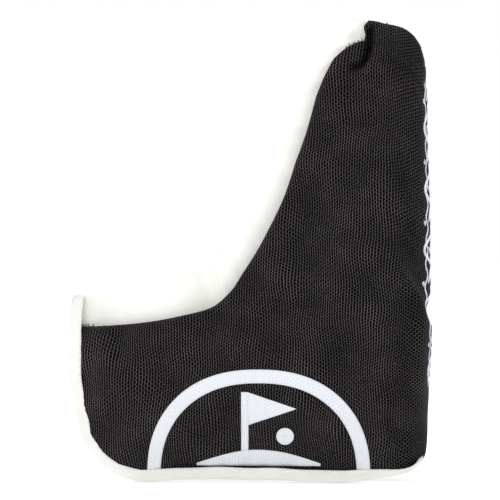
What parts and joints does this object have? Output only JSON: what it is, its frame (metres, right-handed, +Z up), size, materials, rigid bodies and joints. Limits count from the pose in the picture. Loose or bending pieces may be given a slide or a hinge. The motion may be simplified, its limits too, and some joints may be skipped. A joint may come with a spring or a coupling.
{
  "type": "putter head cover",
  "caption": "Padded boot-shaped cover for a blade putter head, woven cloth folded along the heel, bound along toe and sole, with a sprung neck flap over a white closing strip.",
  "frame": {"origin": "on the floor of the pocket, in the middle plane, where the putter head's sole rests, half way between toe and heel", "axes": "+Z up along the neck, -X towards the toe, +X towards the folded spine, -Y the front, which opens"},
  "size_m": [0.1414, 0.0434, 0.1789],
  "materials": {
    "woven_cloth": "coarse black basket weave, matt with pale thread highlights",
    "foam": "soft grey foam",
    "fleece": "short dark pile",
    "white_binding": "smooth white synthetic leather tape",
    "white_strip": "smooth soft white synthetic leather",
    "elastic": "ribbed woven elastic",
    "magnet": "nickel plated",
    "steel_disc": "plain sheet steel",
    "print": "matt transfer film, pale bluish white",
    "embroidery": "satin stitch in pale lilac thread"
  },
  "bodies": {
    "root": {"outer_cloth": "woven_cloth", "back_pad": "foam", "spine_pad": "foam", "front_foot_pad": "foam", "fleece_lining": "fleece", "edge_binding": "white_binding", "closing_strip": "white_strip", "closing_strip_lining": "fleece", "neck_elastic": "elastic", "steel_disc_neck_upper": "steel_disc", "steel_disc_neck_lower": "steel_disc", "magnet_foot": "magnet", "steel_disc_foot": "steel_disc", "emblem_ring": "print", "emblem_flag": "print", "emblem_ball": "print", "spine_embroidery": "embroidery"},
    "flap": {"flap_cloth": "woven_cloth", "flap_pad": "foam", "flap_lining": "fleece", "flap_elastic": "elastic", "magnet_neck_upper": "magnet", "magnet_neck_lower": "magnet"}
  },
  "joints": [
    {"name": "flap_swing", "type": "hinge", "parent": "root", "child": "flap", "pos_m": [0.054, -0.0155, 0.12], "axis": [0, 0, 1], "range_deg": [0, 60], "stiffness_Nm_per_rad": 0.05}
  ]
}
